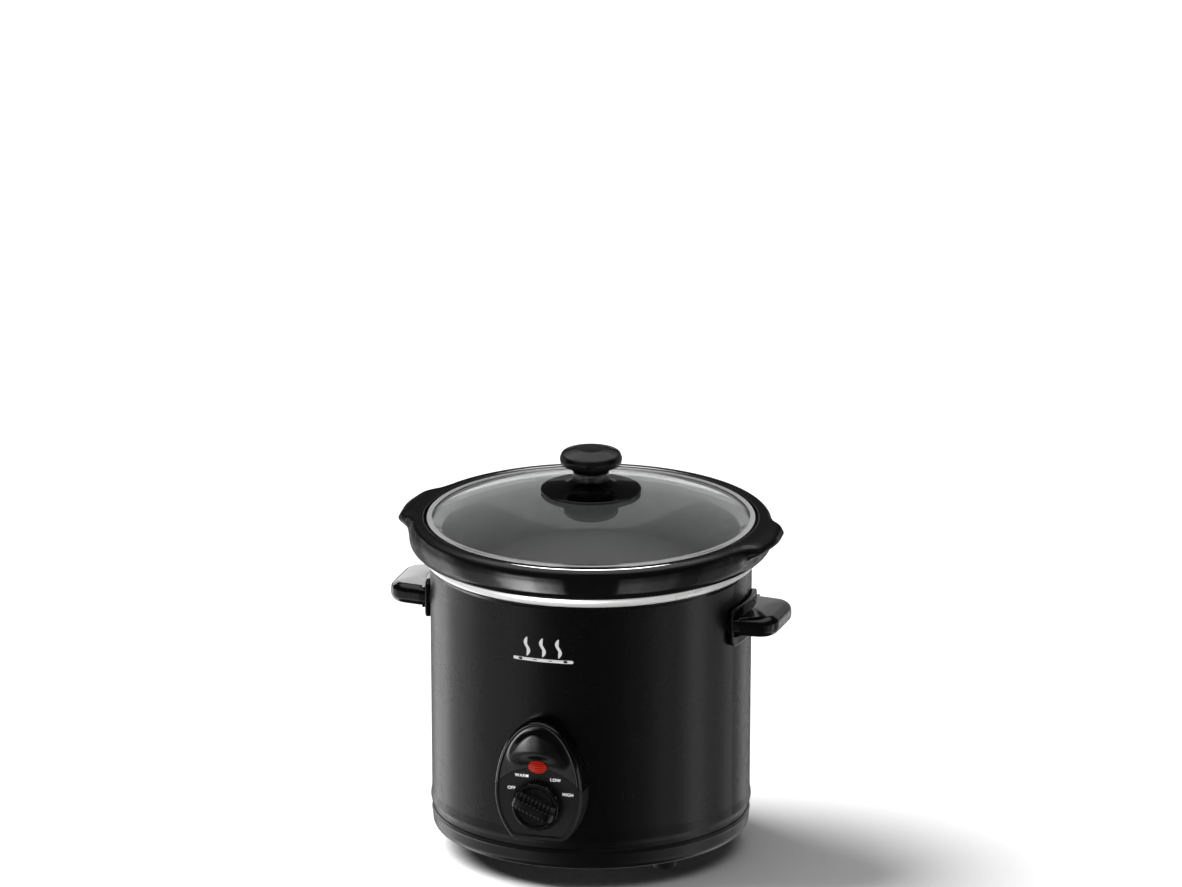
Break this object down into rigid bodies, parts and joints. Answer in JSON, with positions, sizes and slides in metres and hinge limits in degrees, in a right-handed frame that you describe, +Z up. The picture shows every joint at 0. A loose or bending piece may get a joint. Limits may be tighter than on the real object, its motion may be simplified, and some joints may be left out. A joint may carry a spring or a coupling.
{
  "type": "slow cooker",
  "caption": "Round countertop slow cooker: black drum with side handles and a front dial, lift-out glazed crock and a domed glass lid with a knob.",
  "frame": {"origin": "on the axis of the round body, at the level of the surface that the feet stand on", "axes": "+Z up; the control panel faces -Y; the side handles point along +X and -X"},
  "size_m": [0.271, 0.2549, 0.2758],
  "materials": {
    "painted_shell": "satin black baked paint on steel sheet",
    "bright_aluminium": "pressed sheet, satin",
    "black_phenolic": "moulded, satin",
    "foot_rubber": "moulded",
    "zinc_steel": "zinc plated",
    "handle_phenolic": "polished phenolic",
    "mica_band": "mica and resistance strip in foil",
    "brass": "plain",
    "ceramic_body": "plain",
    "switch_plastic": "moulded",
    "lead_brown": "silicone insulation",
    "lead_blue": "silicone insulation",
    "lead_green": "silicone insulation",
    "gloss_black_abs": "moulded, high gloss",
    "satin_black_abs": "moulded, fine satin texture",
    "red_lens": "clear red",
    "lamp_glass": "clear",
    "dial_abs": "moulded, gloss",
    "black_stoneware": "gloss black glaze",
    "lid_glass": "tempered, clear",
    "stainless_rim": "polished stainless steel",
    "knob_phenolic": "polished phenolic",
    "silicone": "moulded silicone"
  },
  "bodies": {
    "base": {"base_tray": "black_phenolic", "centre_nut": "zinc_steel", "centre_stud": "zinc_steel", "centre_washer": "zinc_steel", "control_cover_lower": "satin_black_abs", "control_cover_screws": "zinc_steel", "control_cover_upper": "gloss_black_abs", "cord_gland": "black_phenolic", "cord_gland_nut": "black_phenolic", "earth_lead": "lead_green", "earth_screw": "brass", "foot_front_left": "foot_rubber", "foot_front_right": "foot_rubber", "foot_rear": "foot_rubber", "foot_screws": "zinc_steel", "fuse_clip": "zinc_steel", "handle_left": "handle_phenolic", "handle_right": "handle_phenolic", "handle_screws": "zinc_steel", "heat_shield": "bright_aluminium", "heater_band": "mica_band", "heater_band_clamp": "zinc_steel", "heater_lead": "lead_brown", "heater_terminals": "brass", "heating_well": "bright_aluminium", "indicator_lens": "red_lens", "live_lead": "lead_brown", "neon_lamp": "lamp_glass", "neutral_lead": "lead_blue", "outer_shell": "painted_shell", "rotary_switch": "switch_plastic", "stud_spacers": "zinc_steel", "switch_lead": "lead_brown", "switch_nut": "zinc_steel", "switch_terminals": "brass", "terminal_block": "switch_plastic", "terminal_screws": "brass", "thermal_fuse": "ceramic_body"},
    "dial": {"control_dial": "dial_abs", "switch_spindle": "zinc_steel"},
    "crock": {"crock": "black_stoneware"},
    "lid": {"lid_glass": "lid_glass", "lid_rim": "stainless_rim", "lid_knob": "knob_phenolic", "lid_knob_skirt": "knob_phenolic", "lid_knob_gasket": "silicone", "lid_knob_washer": "zinc_steel", "lid_knob_screw": "zinc_steel"}
  },
  "joints": [
    {"name": "dial_turn", "type": "hinge", "parent": "base", "child": "dial", "pos_m": [0, -0.11, 0.0625], "axis": [0, 1, 0], "range_deg": [0, 135]},
    {"name": "crock_lift", "type": "slide", "parent": "base", "child": "crock", "axis": [0, 0, 1], "range_m": [0, 0.215]},
    {"name": "lid_lift", "type": "slide", "parent": "crock", "child": "lid", "axis": [0, 0, 1], "range_m": [0, 0.091]}
  ]
}
